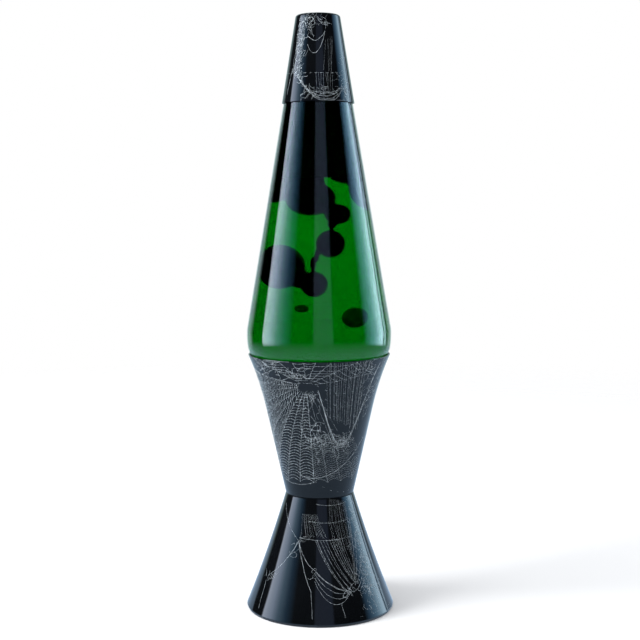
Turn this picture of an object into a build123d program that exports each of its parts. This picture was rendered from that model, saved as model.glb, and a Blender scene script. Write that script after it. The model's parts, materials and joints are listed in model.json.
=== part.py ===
from build123d import *

import os
from math import asin, atan, cos, degrees, radians, sin

# A free-standing decorative lamp: a two-cone metal base, a small bulb on a threaded pipe inside it,
# a tapered glass globe with dyed liquid and wax, and a conical metal cap.
# Units are millimetres. +Z is up, the origin is on the table under the middle of the base,
# and -Y is the front.

# ---- driving dimensions ------------------------------------------------------------------------

LAMP_HEIGHT = 368.3
SHEET = 0.8                     # wall of the spun base cones, measured square to the wall
WALL = 0.85                     # the same wall measured along the radius

HEM_RADIUS = 46.3               # outer edge of the rolled hem at the table
HEM_ROLL = 1.1
HEM_BOTTOM = 0.8
WAIST_RADIUS = 21.3
WAIST_Z = 73.2                  # plane where the two cones are clamped together
WAIST_CORNER = 0.7              # rounded corner of each cone at the waist
LOWER_MIDDLE = (33.1, 37.0)     # radius and height of a point halfway down the lower cone
CONE_BEND = (33.6, 128.0)       # radius and height where the upper cone starts to flare
RIM_RADIUS = 44.2
RIM_Z = 160.5

GLOBE_TAPER = 0.17              # fall of the radius for each millimetre of height
GLOBE_SHOULDER = (44.9, 177.0)  # radius and height where the straight taper ends
GLOBE_BELLY = (45.12, 172.6)
GLOBE_TUCK = (44.25, 163.8)
GLOBE_SEAT = (43.0, 160.4)
GLOBE_HEEL = (39.2, 152.2)
GLOBE_FOOT = (36.2, 149.4)
PUNT_RISE = 3.2
GLASS = 2.6
GLASS_BOTTOM = 3.6
NECK_START_Z = 329.0
NECK_RADIUS = 12.3
NECK_Z = 339.0
MOUTH_Z = 350.0
MOUTH_BORE = 8.0
FINISH_RADIUS = 13.2            # bead that the crown cap grips
FILL_GAP = 0.15                 # between the glass and its contents
FILL_Z = 332.0                  # level of the liquid and the wax on top of it

CAP_BOTTOM_Z = 315.2
CAP_BOTTOM_RADIUS = 22.25
CAP_TOP_RADIUS = 13.5
CAP_SHEET = 0.5
CAP_CORNER = 1.8

PIPE_RADIUS = 5.0
PIPE_BORE = 3.6
PIPE_BOTTOM = 64.0
PIPE_TOP = 80.2
NUT_FLATS = 14.0
NUT_HEIGHT = 3.5
NUT_BORE = PIPE_RADIUS + 0.05
HOLE_RADIUS = PIPE_RADIUS + 0.2
WASHER_RADIUS = 9.0
WASHER = 0.8
VENT_RADIUS = 3.0
VENT_RING = 14.0
VENTS = 4

THREAD_PITCH = 2.82             # screw base of an intermediate bulb, 9 threads to the inch
BULB_TIP_Z = 84.3
BULB_TIP = 1.2                  # height of the solder dome
BULB_TIP_RADIUS = 2.3
BULB_SHELL_BOTTOM = 87.5
BULB_SHELL_TOP = 100.3
BULB_SHELL_RADIUS = 7.75
BULB_SHELL_MOUTH = 6.05         # inside radius of the shell's lower end
BULB_SHELL = 0.35
BULB_THREAD_Z = 89.9
BULB_RADIUS = 17.45
BULB_CENTRE_Z = 122.9
BULB_GLASS = 0.6
BULB_NECK = 7.0
BULB_NECK_TOP = 102.0
STEM_BOTTOM = 95.3
STEM_HEIGHT = 12.6
FILAMENT_Z = 117.7              # ends of the filament
FILAMENT_HALF = 6.0
FILAMENT_RISE = 2.9
FILAMENT_RADIUS = 0.3
LEAD_RADIUS = 0.25

SOCKET_RADIUS = 11.8
SOCKET_BOTTOM = 80.5
SOCKET_TOP = 100.5
SOCKET_FLOOR = 82.3
SOCKET_BORE = 9.5
SOCKET_SHELL_INSIDE = 8.75
SOCKET_SHELL_OUTSIDE = 9.25
BRACKET_WIDTH = 12.0
BRACKET = 1.0
BRACKET_TOP = 93.0
RIVET_Z = 88.5

GLAND_Z = 15.0
GLAND_HOLE = 4.6
GLAND_BORE = 3.0

# Wax bodies: centre (x, y, z) and radius. The first three hang from the mass on top, and the rest
# follow on from them in one string down to the large body and its foot.
WAX_RISING = (
    ((-4.5, -7.0, 257.8), 11.8),
    ((-15.5, 8.0, 259.0), 9.6),
    ((22.0, -2.0, 260.5), 11.6),
    ((8.2, -9.0, 246.3), 6.0),
    ((5.8, -10.0, 240.0), 2.6),
    ((5.0, -11.0, 231.0), 7.2),
    ((4.6, -10.8, 227.0), 7.2),
    ((0.4, -8.8, 219.8), 2.6),
    ((-2.2, -7.2, 215.2), 3.1),
    ((-19.0, -4.0, 214.6), 13.4),
    ((-6.2, -6.0, 209.0), 5.2),
    ((-2.8, -8.0, 202.6), 6.4),
)
WAX_DROP = ((15.9, 6.0, 181.4), 6.1)
WAX_BEAD = ((-7.3, 12.0, 186.6), 2.8)
MASS_Z = 265.0                  # underside of the wax mass between the bodies that hang from it
POOL_TOP = 155.0
WAX_GAP = 0.1                   # between the liquid and what it holds
COIL_RING = 29.0
COIL_RADIUS = 1.9
COIL_Z = 156.1

CROWN_TEETH = 21
CROWN_TOP_Z = MOUTH_Z + 1.2


# ---- outlines and helpers ----------------------------------------------------------------------

def rz(radius, height):
    """A point of a half outline in the XZ plane."""
    return Vector(radius, 0, height)


def shifted(point, inward, lift=0.0):
    """The same outline point, moved towards the axis and up."""
    return Vector(point.X - inward, 0, point.Z + lift)


def lathe(*edges):
    """Turns a closed half outline about Z."""
    return revolve(make_face(Wire(list(edges))), Axis.Z)


def lathe_points(*points):
    """Turns a closed half outline with straight sides about Z."""
    return revolve(make_face(Polyline(*[rz(r, z) for r, z in points], close=True)), Axis.Z)


def edges_of(*curves):
    """The edges of several curves, end to end."""
    return [edge for curve in curves for edge in curve.edges()]


def ring(inner, outer, bottom, top):
    """A plain washer shape between two radii."""
    return lathe_points((inner, bottom), (outer, bottom), (outer, top), (inner, top))


def disc(radius, bottom, top):
    """A plain round plate."""
    return Pos(0, 0, (bottom + top) / 2) * Cylinder(radius, top - bottom)


def around(count, radius, shape, start=0.0):
    """The shape repeated on a circle about Z."""
    return [Rot(0, 0, start + 360 / count * i) * Pos(radius, 0, 0) * shape for i in range(count)]


def ball(centre, radius):
    """A sphere at the given point."""
    return Pos(*centre) * Sphere(radius)


# ---- base: cones, bottom cover and cord gland --------------------------------------------------

def lower_outline_edge():
    """Outer side of the lower cone, from the waist corner down to the hem."""
    return ThreePointArc(
        rz(WAIST_RADIUS, WAIST_Z), rz(*LOWER_MIDDLE), rz(HEM_RADIUS, HEM_BOTTOM + HEM_ROLL)
    )


def gland_plane():
    """Plane on the middle of the lower cone's wall at the back, its normal square to the wall."""
    side = lower_outline_edge().edge()
    here = side.position_at((WAIST_Z - GLAND_Z) / (WAIST_Z - HEM_BOTTOM - HEM_ROLL))
    below = side.position_at(0.9)
    lean = degrees(atan((below.X - here.X) / (here.Z - below.Z)))
    normal = Vector(0, cos(radians(lean)), sin(radians(lean)))
    middle = Vector(0, here.X, here.Z) - normal * (SHEET / 2)
    return Plane(origin=middle, z_dir=normal, x_dir=(1, 0, 0))


def waist_vents(height):
    """Cutters for the vent holes through the plates at the waist."""
    return around(VENTS, VENT_RING, Pos(0, 0, height) * Cylinder(VENT_RADIUS, 6), start=45)


def base_lower_cone():
    """Spun lower cone, open below, with a rolled hem and a flat top that the pipe passes through."""
    side = lower_outline_edge()
    hem_z = HEM_BOTTOM + HEM_ROLL
    inner_top = rz(WAIST_RADIUS - WALL, WAIST_Z - SHEET)
    inner_hem = rz(HEM_RADIUS - 2 * HEM_ROLL, hem_z)
    inner_side = ThreePointArc(
        inner_top, shifted(rz(*LOWER_MIDDLE), WALL), rz(HEM_RADIUS - 2 * HEM_ROLL, 5.2)
    )
    body = lathe(*edges_of(
        Line(rz(HOLE_RADIUS, WAIST_Z), rz(WAIST_RADIUS, WAIST_Z)),
        side,
        ThreePointArc(rz(HEM_RADIUS, hem_z), rz(HEM_RADIUS - HEM_ROLL, HEM_BOTTOM), inner_hem),
        Line(inner_hem, inner_side @ 1),
        inner_side,
        Line(inner_top, rz(HOLE_RADIUS, WAIST_Z - SHEET)),
        Line(rz(HOLE_RADIUS, WAIST_Z - SHEET), rz(HOLE_RADIUS, WAIST_Z)),
    ))
    body = rounded_waist(body)
    return body - waist_vents(WAIST_Z) - gland_plane() * Cylinder(GLAND_HOLE, 8)


def rounded_waist(body):
    """Rounds the outer corner that a cone has at the waist plane."""
    corner = [
        edge for edge in body.edges().filter_by(GeomType.CIRCLE)
        if abs(edge.radius - WAIST_RADIUS) < 0.01 and abs(edge.center().Z - WAIST_Z) < 0.01
    ]
    return fillet(corner, WAIST_CORNER)


def base_upper_cone():
    """Spun upper cone: a cup with a flat floor and a flared rim that the globe stands in."""
    foot = rz(WAIST_RADIUS, WAIST_Z)
    bend = rz(*CONE_BEND)
    rim = rz(RIM_RADIUS, RIM_Z)
    wall_foot = shifted(foot, WALL, SHEET)
    wall_bend = shifted(bend, WALL)
    wall_rim = shifted(rim, WALL)
    straight = Line(foot, bend)
    flare = TangentArc(bend, rim, tangent=straight % 1)
    wall_straight = Line(wall_foot, wall_bend)
    wall_flare = TangentArc(wall_bend, wall_rim, tangent=straight % 1)
    lip = ThreePointArc(rim, rz(RIM_RADIUS - WALL / 2, RIM_Z + WALL / 2), wall_rim)
    body = lathe(*edges_of(
        Line(rz(HOLE_RADIUS, WAIST_Z), foot),
        straight,
        flare,
        lip,
        wall_flare,
        wall_straight,
        Line(wall_foot, rz(HOLE_RADIUS, WAIST_Z + SHEET)),
        Line(rz(HOLE_RADIUS, WAIST_Z + SHEET), rz(HOLE_RADIUS, WAIST_Z)),
    ))
    return rounded_waist(body) - waist_vents(WAIST_Z)


def bottom_cover():
    """Moulded cover that plugs the open end of the lower cone; its flat flange meets the table."""
    plug = HEM_RADIUS - 2 * HEM_ROLL - 0.5
    flange_inside = 38.0
    plate = 1.2
    cover = lathe_points(
        (0, plate), (flange_inside - 0.6, plate), (flange_inside, 0), (HEM_RADIUS - 0.9, 0),
        (HEM_RADIUS - 0.9, HEM_BOTTOM - 0.05), (plug, HEM_BOTTOM - 0.05), (plug, 5.0),
        (plug - plate, 5.0), (plug - plate, 2 * plate), (0, 2 * plate),
    )
    hole = Pos(0, 0, 1.5 * plate) * Cylinder(2.4, 4)
    return cover - around(12, 31.0, hole) - around(6, 17.0, hole) - around(1, 0.0, hole)


def cord_gland():
    """Rubber bush snapped into the back of the lower cone, with the hole for a supply cord."""
    outer_face = SHEET / 2 + 0.05
    inner_face = -SHEET / 2 - 0.55
    section = Polyline(
        (GLAND_BORE, inner_face - 1.5), (6.0, inner_face - 1.5), (6.0, inner_face),
        (GLAND_HOLE - 0.2, inner_face), (GLAND_HOLE - 0.2, outer_face), (6.6, outer_face),
        (6.6, outer_face + 0.9), (5.6, outer_face + 1.9), (GLAND_BORE, outer_face + 1.9),
        close=True,
    )
    bush = revolve(make_face(Plane.XZ * section), Axis.Z)
    return gland_plane() * bush


# ---- base: threaded pipe, nuts and lamp holder -------------------------------------------------

def lamp_pipe():
    """Hollow threaded pipe that clamps both cones and lets the wires through."""
    pipe = ring(PIPE_BORE, PIPE_RADIUS, PIPE_BOTTOM, PIPE_TOP)
    ends = pipe.edges().filter_by(GeomType.CIRCLE).group_by(SortBy.RADIUS)[-1]
    return chamfer(ends, 0.5)


def hex_nut(bottom):
    """Hexagon nut on the pipe, its corners rounded off by the usual chamfer."""
    blank = Pos(0, 0, bottom + NUT_HEIGHT / 2) * extrude(
        RegularPolygon(NUT_FLATS / 2, 6, major_radius=False), NUT_HEIGHT / 2, both=True
    )
    corner = NUT_FLATS / 2 / cos(radians(30))
    turned = chamfer(disc(corner, bottom, bottom + NUT_HEIGHT).edges(), 0.8)
    return (blank & turned) - Pos(0, 0, bottom) * Cylinder(NUT_BORE, 4 * NUT_HEIGHT)


def tooth_washer(bottom):
    """Lock washer with outside teeth."""
    notch = Pos(0, 0, bottom) * Box(2.4, 1.1, 4 * WASHER)
    return ring(NUT_BORE + 0.1, WASHER_RADIUS, bottom, bottom + WASHER) - around(
        14, WASHER_RADIUS, notch
    )


def socket_bracket():
    """Bent steel strap: its foot is clamped on the pipe and its two arms carry the lamp holder."""
    floor = WAIST_Z + SHEET
    reach = SOCKET_RADIUS + 0.1
    arm_height = BRACKET_TOP - floor
    foot = Pos(0, 0, floor + BRACKET / 2) * Box(2 * (reach + BRACKET), BRACKET_WIDTH, BRACKET)
    strap = foot
    for side in (-1, 1):
        arm = Pos(side * (reach + BRACKET / 2), 0, floor + arm_height / 2) * Box(
            BRACKET, BRACKET_WIDTH, arm_height
        )
        strap = strap + arm
        strap = strap - Pos(side * reach, 0, RIVET_Z) * Rot(0, 90, 0) * Cylinder(1.65, 6)
    tips = strap.edges().filter_by(Axis.X).group_by(Axis.Z)[-1]
    strap = fillet(tips, 3.0)
    bends = [
        edge for edge in strap.edges().filter_by(Axis.Y)
        if abs(edge.center().Z - floor) < 0.01 and abs(edge.center().X) > reach
    ]
    strap = fillet(bends, 0.9)
    return strap - Cylinder(HOLE_RADIUS, 4 * WAIST_Z)


def socket_body():
    """Moulded insulating body of the lamp holder, with a wire hole below and rivet holes."""
    cup = lathe_points(
        (PIPE_BORE, SOCKET_BOTTOM), (SOCKET_RADIUS - 1, SOCKET_BOTTOM),
        (SOCKET_RADIUS, SOCKET_BOTTOM + 1), (SOCKET_RADIUS, SOCKET_TOP - 0.6),
        (SOCKET_RADIUS - 0.6, SOCKET_TOP), (SOCKET_BORE, SOCKET_TOP),
        (SOCKET_BORE, SOCKET_FLOOR), (PIPE_BORE, SOCKET_FLOOR),
    )
    rivets = [
        Pos(side * SOCKET_RADIUS, 0, RIVET_Z) * Rot(0, 90, 0) * Cylinder(1.65, 4.4)
        for side in (-1, 1)
    ]
    pockets = [
        Pos(0, side * SOCKET_RADIUS, RIVET_Z) * Box(7.0, 3.2, 7.0) for side in (-1, 1)
    ]
    return cup - rivets - pockets


def socket_rivets():
    """Two rivets that fix the holder's body between the bracket's arms."""
    arm_face = SOCKET_RADIUS + 0.1 + BRACKET
    shank = Pos(0, 0, -BRACKET / 2 - 0.95) * Cylinder(1.6, BRACKET + 1.9)
    dome = Sphere(2.6) & Pos(0, 0, 2.4) * Box(8, 8, 2.0)
    head = Pos(0, 0, -1.4) * dome
    one = shank + head
    return [
        Pos(side * arm_face, 0, RIVET_Z) * Rot(0, side * 90, 0) * one for side in (-1, 1)
    ]


def terminal_screw(side):
    """Wire clamping screw in the holder's front or back pocket."""
    seat = SOCKET_RADIUS - 1.6
    screw = Cylinder(2.5, 1.4, align=(Align.CENTER, Align.CENTER, Align.MIN))
    screw = fillet(screw.edges().filter_by(GeomType.CIRCLE).group_by(Axis.Z)[-1], 0.5)
    screw = screw - Pos(0, 0, 1.4) * Box(6, 0.7, 1.2)
    return Pos(0, side * seat, RIVET_Z) * Rot(-90 * side, 0, 0) * screw


def thread_ridge(radius, section, bottom, turns):
    """A rounded helical ridge about Z."""
    path = Helix(pitch=THREAD_PITCH, height=turns * THREAD_PITCH, radius=radius)
    profile = Plane(origin=path @ 0, z_dir=path % 0) * Circle(section)
    return Pos(0, 0, bottom) * sweep(profile, path=path, is_frenet=True)


def socket_shell():
    """Brass screw shell of the lamp holder."""
    tube = ring(SOCKET_SHELL_INSIDE, SOCKET_SHELL_OUTSIDE, 86.0, SOCKET_TOP - 0.4)
    middle = (SOCKET_SHELL_INSIDE + SOCKET_SHELL_OUTSIDE) / 2
    reach = middle - SOCKET_SHELL_INSIDE + 0.15
    return tube + thread_ridge(middle, reach, 87.5, 3.5)


def socket_contact():
    """Sprung brass tongue that the bulb's tip presses on."""
    top = BULB_TIP_Z - 0.3
    tongue = Polyline(
        (-8.4, SOCKET_FLOOR), (-4.4, SOCKET_FLOOR), (-2.0, top - 0.5), (2.0, top - 0.5),
        (3.0, top - 1.1), (3.4, top - 0.7), (2.2, top), (-2.3, top),
        (-4.6, SOCKET_FLOOR + 0.5), (-8.4, SOCKET_FLOOR + 0.5),
        close=True,
    )
    face = make_face(Plane.XZ * tongue)
    return extrude(face, 2.0, both=True)


# ---- bulb --------------------------------------------------------------------------------------

def bulb_tip():
    """Solder contact at the very end of the bulb."""
    end = rz(0, BULB_TIP_Z)
    middle = rz(0, BULB_TIP_Z + BULB_TIP)
    edge = rz(BULB_TIP_RADIUS, BULB_TIP_Z + BULB_TIP)
    return lathe(*edges_of(
        ThreePointArc(end, rz(0.65 * BULB_TIP_RADIUS, BULB_TIP_Z + 0.3 * BULB_TIP), edge),
        Line(edge, middle),
        Line(middle, end),
    ))


def bulb_insulator():
    """Black glass insulator between the tip and the screw shell."""
    bottom = BULB_TIP_Z + BULB_TIP
    top = BULB_SHELL_BOTTOM + 1.0
    radius = BULB_SHELL_MOUTH - 0.05
    return lathe_points(
        (0, bottom), (BULB_TIP_RADIUS + 0.3, bottom), (3.6, bottom + 0.5),
        (radius, BULB_SHELL_BOTTOM), (radius, top), (0, top),
    )


def bulb_screw_shell():
    """Rolled-thread metal shell of the bulb."""
    inside = BULB_SHELL_RADIUS - BULB_SHELL
    bevel = BULB_SHELL_BOTTOM + 1.2
    lip = BULB_SHELL_BOTTOM + 0.4
    shell = lathe_points(
        (BULB_SHELL_MOUTH, BULB_SHELL_BOTTOM), (6.6, BULB_SHELL_BOTTOM),
        (BULB_SHELL_RADIUS, bevel), (BULB_SHELL_RADIUS, BULB_SHELL_TOP),
        (inside, BULB_SHELL_TOP), (inside, bevel + 0.2), (6.4, lip), (BULB_SHELL_MOUTH, lip),
    )
    return shell + thread_ridge(BULB_SHELL_RADIUS - 0.15, 0.6, BULB_THREAD_Z, 3.0)


def bulb_profile(offset):
    """Half outline of the bulb's glass, offset inward from its outside, from neck to top."""
    radius = BULB_RADIUS - offset
    join = radians(-38)
    meet = rz(radius * cos(join), BULB_CENTRE_Z + radius * sin(join))
    top = rz(0, BULB_CENTRE_Z + radius)
    side = rz(radius, BULB_CENTRE_Z)
    neck = rz(BULB_NECK - offset, BULB_NECK_TOP)
    bottom = rz(BULB_NECK - offset, STEM_BOTTOM)
    sweep_out = Spline(neck, meet, tangents=((0, 0, 1), (-sin(join), 0, cos(join))))
    return bottom, top, edges_of(
        Line(bottom, neck), sweep_out, ThreePointArc(meet, side, top)
    )


def bulb_glass():
    """Clear blown envelope, open at the neck inside the screw shell."""
    bottom, top, outside = bulb_profile(0)
    inner_bottom, inner_top, inside = bulb_profile(BULB_GLASS)
    return lathe(
        *outside, *edges_of(Line(top, inner_top)), *inside,
        *edges_of(Line(inner_bottom, bottom)),
    )


def bulb_stem():
    """Glass mount that closes the neck and holds the wires."""
    neck = BULB_NECK - BULB_GLASS - 0.05
    top = STEM_BOTTOM + STEM_HEIGHT
    return lathe_points(
        (0, STEM_BOTTOM), (neck, STEM_BOTTOM), (neck, STEM_BOTTOM + 0.8),
        (3.6, STEM_BOTTOM + 2.4), (2.0, STEM_BOTTOM + 5.0), (1.7, top - 0.6), (0, top),
    ) - bulb_wires()


def bulb_wires():
    """Two lead-in wires and one support wire standing on the stem."""
    stem_top = STEM_BOTTOM + STEM_HEIGHT
    lead_top = FILAMENT_Z - FILAMENT_RADIUS
    wires = []
    for side in (-1, 1):
        foot = Vector(side * 1.1, 0, stem_top - 1.2)
        head = Vector(side * FILAMENT_HALF, 0, lead_top)
        wires.append(rod(foot, head, LEAD_RADIUS))
    support_foot = Vector(0, 0, stem_top - 1.0)
    support_head = Vector(0, 0, FILAMENT_Z + FILAMENT_RISE - 2 * FILAMENT_RADIUS)
    return [*wires, rod(support_foot, support_head, 0.8 * LEAD_RADIUS)]


def rod(start, end, radius):
    """A straight round wire between two points."""
    along = end - start
    plane = Plane(origin=start, z_dir=along)
    return plane * Cylinder(
        radius, along.length, align=(Align.CENTER, Align.CENTER, Align.MIN)
    )


def bulb_filament():
    """Coiled filament, drawn as its fine outer tube, hung between the wires in an inverted V."""
    peak = Vector(0, 0, FILAMENT_Z + FILAMENT_RISE)
    left = Vector(-FILAMENT_HALF, 0, FILAMENT_Z)
    right = Vector(FILAMENT_HALF, 0, FILAMENT_Z)
    return rod(left, peak, FILAMENT_RADIUS) + rod(right, peak, FILAMENT_RADIUS)


# ---- globe -------------------------------------------------------------------------------------

def taper_radius(height):
    """Outer radius of the globe's straight upper part."""
    return GLOBE_SHOULDER[0] - GLOBE_TAPER * (height - GLOBE_SHOULDER[1])


def globe_side(offset, bottom_lift):
    """The globe's side from heel to neck, offset inward: edges, first point and last point."""
    def moved(point, lift=0.0):
        return rz(point[0] - offset, point[1] + lift)

    foot = moved(GLOBE_FOOT, bottom_lift)
    heel = moved(GLOBE_HEEL, bottom_lift * 0.6)
    seat = moved(GLOBE_SEAT)
    shoulder = moved(GLOBE_SHOULDER)
    neck_start = moved((taper_radius(NECK_START_Z), NECK_START_Z))
    neck = moved((NECK_RADIUS, NECK_Z))
    up_taper = Vector(-GLOBE_TAPER, 0, 1)
    belly = Spline(
        seat, moved(GLOBE_TUCK), moved(GLOBE_BELLY), shoulder,
        tangents=((seat - heel).normalized(), up_taper.normalized()),
    )
    curve = edges_of(
        Spline(foot, heel, tangents=((1, 0, 0), (seat - heel).normalized())),
        Line(heel, seat),
        belly,
        Line(shoulder, neck_start),
        Spline(neck_start, neck, tangents=(up_taper.normalized(), (0, 0, 1))),
    )
    return curve, foot, neck


def globe_glass():
    """Blown glass globe: straight taper, round belly, pushed-up bottom and a crown finish."""
    outside, foot, neck = globe_side(0, 0)
    inside, inner_foot, inner_neck = globe_side(GLASS, GLASS_BOTTOM)
    punt = rz(0, GLOBE_FOOT[1] + PUNT_RISE)
    inner_punt = rz(0, GLOBE_FOOT[1] + PUNT_RISE + GLASS_BOTTOM)
    ring_foot = rz(GLOBE_FOOT[0] - 4, GLOBE_FOOT[1])
    finish = [
        (NECK_RADIUS, 342.0), (FINISH_RADIUS, 342.6), (FINISH_RADIUS, 344.6),
        (NECK_RADIUS, 345.4), (NECK_RADIUS, 346.2), (FINISH_RADIUS, 347.2),
        (FINISH_RADIUS, 349.0), (FINISH_RADIUS - 1.0, MOUTH_Z), (MOUTH_BORE + 0.8, MOUTH_Z),
        (MOUTH_BORE, MOUTH_Z - 0.8), (MOUTH_BORE, 343.0),
    ]
    return lathe(*edges_of(
        TangentArc(punt, ring_foot, tangent=(1, 0, 0)),
        Line(ring_foot, foot),
    ), *outside, *edges_of(
        Polyline(neck, *[rz(r, z) for r, z in finish], inner_neck),
    ), *inside, *edges_of(
        TangentArc(inner_punt, inner_foot, tangent=(1, 0, 0)),
        Line(inner_punt, punt),
    ))


def globe_fill():
    """The space inside the globe up to the filling level, a hair clear of the glass."""
    inside, foot, neck = globe_side(GLASS + FILL_GAP, GLASS_BOTTOM + FILL_GAP)
    middle = rz(0, GLOBE_FOOT[1] + PUNT_RISE + GLASS_BOTTOM + FILL_GAP)
    whole = lathe(*inside, *edges_of(
        Line(neck, rz(0, neck.Z)),
        Line(rz(0, neck.Z), middle),
        TangentArc(middle, foot, tangent=(1, 0, 0)),
    ))
    return whole & disc(60, 100, FILL_Z)


def bodies_of_wax(bodies, by=0.0):
    """Joins the bodies in the list, each grown by the same amount."""
    first, *others = [ball(centre, radius + by) for centre, radius in bodies]
    for other in others:
        first = first + other
    return first


def wax_rising(fill):
    """The mass of wax in the upper globe and the string of bodies that hangs from it."""
    return fill & (disc(60, MASS_Z, FILL_Z + 10) + bodies_of_wax(WAX_RISING))


def wax_coil(by=0.0):
    """Outer shape of the coiled-wire ring that lies at the bottom of the globe."""
    return Pos(0, 0, COIL_Z) * Torus(COIL_RING, COIL_RADIUS + by)


def wax_pool(fill):
    """Thin layer of wax left at the bottom, around the wire ring."""
    return (fill & disc(60, 140, POOL_TOP)) - wax_coil(WAX_GAP)


def globe_liquid(fill):
    """The dyed liquid: the filled space less the wax and the wire ring."""
    liquid = fill & disc(60, POOL_TOP + WAX_GAP, MASS_Z - WAX_GAP)
    liquid = liquid - bodies_of_wax(WAX_RISING, WAX_GAP)
    liquid = liquid - bodies_of_wax([WAX_DROP, WAX_BEAD], WAX_GAP)
    return liquid - wax_coil(WAX_GAP)


def crown_liner():
    """Soft sealing disc under the crown cap."""
    return disc(FINISH_RADIUS - 0.4, MOUTH_Z + 0.02, MOUTH_Z + 0.7)


def crown_cap():
    """Crimped metal closure with a fluted skirt."""
    inside = FINISH_RADIUS + 0.15
    skirt_z = 345.6
    cap = lathe_points(
        (0, MOUTH_Z + 0.72), (inside, MOUTH_Z + 0.72), (inside, skirt_z), (15.1, skirt_z),
        (15.1, skirt_z + 0.4), (13.9, CROWN_TOP_Z - 1.0), (13.2, CROWN_TOP_Z - 0.1),
        (12.4, CROWN_TOP_Z), (0, CROWN_TOP_Z),
    )
    lean = degrees(asin((15.1 - 13.9) / (CROWN_TOP_Z - skirt_z)))
    flute = Pos(0, 0, skirt_z) * Rot(0, -lean, 0) * Cylinder(1.25, 14)
    return cap - around(CROWN_TEETH, 15.75, flute)


# ---- cap ---------------------------------------------------------------------------------------

def cap_shell():
    """Spun conical cap, open below, that slips over the globe's neck."""
    taper = (CAP_BOTTOM_RADIUS - CAP_TOP_RADIUS) / (LAMP_HEIGHT - CAP_BOTTOM_Z)
    outer = lathe_points(
        (0, CAP_BOTTOM_Z), (CAP_BOTTOM_RADIUS, CAP_BOTTOM_Z), (CAP_TOP_RADIUS, LAMP_HEIGHT),
        (0, LAMP_HEIGHT),
    )
    outer = fillet(outer.edges().filter_by(GeomType.CIRCLE).group_by(Axis.Z)[-1], CAP_CORNER)
    top = LAMP_HEIGHT - CAP_SHEET
    inner_top_radius = CAP_TOP_RADIUS - CAP_SHEET + taper * CAP_SHEET
    inner = lathe_points(
        (0, CAP_BOTTOM_Z - 1), (CAP_BOTTOM_RADIUS - CAP_SHEET + taper, CAP_BOTTOM_Z - 1),
        (inner_top_radius, top), (0, top),
    )
    inner = fillet(
        inner.edges().filter_by(GeomType.CIRCLE).group_by(Axis.Z)[-1], CAP_CORNER - CAP_SHEET
    )
    return outer - inner


# ---- all nodes ---------------------------------------------------------------------------------

def nodes():
    """Every separate piece of the lamp, by name."""
    fill = globe_fill()
    washer_top = WAIST_Z + SHEET + BRACKET
    washer_bottom = WAIST_Z - SHEET - WASHER
    return {
        "bottom_cover": bottom_cover(),
        "base_lower_cone": base_lower_cone(),
        "cord_gland": cord_gland(),
        "base_upper_cone": base_upper_cone(),
        "lamp_pipe": lamp_pipe(),
        "lower_lock_washer": tooth_washer(washer_bottom),
        "lower_nut": hex_nut(washer_bottom - NUT_HEIGHT),
        "upper_lock_washer": tooth_washer(washer_top),
        "upper_nut": hex_nut(washer_top + WASHER),
        "socket_bracket": socket_bracket(),
        "socket_body": socket_body(),
        "socket_rivets": socket_rivets(),
        "socket_shell": socket_shell(),
        "socket_contact": socket_contact(),
        "front_terminal_screw": terminal_screw(-1),
        "back_terminal_screw": terminal_screw(1),
        "bulb_tip": bulb_tip(),
        "bulb_insulator": bulb_insulator(),
        "bulb_screw_shell": bulb_screw_shell(),
        "bulb_glass": bulb_glass(),
        "bulb_stem": bulb_stem(),
        "bulb_wires": bulb_wires(),
        "bulb_filament": bulb_filament(),
        "globe_glass": globe_glass(),
        "globe_liquid": globe_liquid(fill),
        "wax_rising": wax_rising(fill),
        "wax_drop": ball(*WAX_DROP),
        "wax_bead": ball(*WAX_BEAD),
        "wax_pool": wax_pool(fill),
        "wax_coil": wax_coil(),
        "crown_liner": crown_liner(),
        "crown_cap": crown_cap(),
        "cap_shell": cap_shell(),
    }


os.makedirs("parts", exist_ok=True)
for name, shape in nodes().items():
    if isinstance(shape, (list, ShapeList)):
        shape = Compound(children=list(shape))
    export_step(shape, f"parts/{name}.step")
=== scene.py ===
import json
import math
import random

import bmesh
import bpy
from mathutils import Euler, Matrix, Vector
from mathutils.bvhtree import BVHTree

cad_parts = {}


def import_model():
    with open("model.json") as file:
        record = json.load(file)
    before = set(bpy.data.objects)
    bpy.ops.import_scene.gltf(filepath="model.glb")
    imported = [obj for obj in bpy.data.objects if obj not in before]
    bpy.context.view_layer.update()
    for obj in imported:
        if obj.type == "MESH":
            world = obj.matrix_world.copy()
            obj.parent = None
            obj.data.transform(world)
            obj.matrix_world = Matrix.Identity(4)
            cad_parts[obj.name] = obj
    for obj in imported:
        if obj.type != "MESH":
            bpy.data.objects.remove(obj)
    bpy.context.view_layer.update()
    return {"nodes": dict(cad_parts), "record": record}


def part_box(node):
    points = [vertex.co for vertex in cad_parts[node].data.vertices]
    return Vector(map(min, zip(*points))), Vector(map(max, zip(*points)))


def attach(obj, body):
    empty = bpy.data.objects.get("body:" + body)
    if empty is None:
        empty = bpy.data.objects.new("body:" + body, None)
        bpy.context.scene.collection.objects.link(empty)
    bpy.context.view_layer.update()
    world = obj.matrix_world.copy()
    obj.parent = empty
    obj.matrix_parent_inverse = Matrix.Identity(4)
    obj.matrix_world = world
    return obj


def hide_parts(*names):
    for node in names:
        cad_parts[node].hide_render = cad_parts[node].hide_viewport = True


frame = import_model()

# A lava lamp: black enamelled cones and cap with a printed cobweb, a clear globe of green liquid
# and black wax, and the bulb and its holder inside the base. Metres; -Y is the front.

MM = 0.001
NODES = frame["nodes"]


# ---- shader helpers ----------------------------------------------------------------------------

def new_material(name):
    """An empty node material, with its tree and output node."""
    material = bpy.data.materials.new(name)
    material.use_nodes = True
    tree = material.node_tree
    tree.nodes.clear()
    output = tree.nodes.new("ShaderNodeOutputMaterial")
    return material, tree, output


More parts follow.
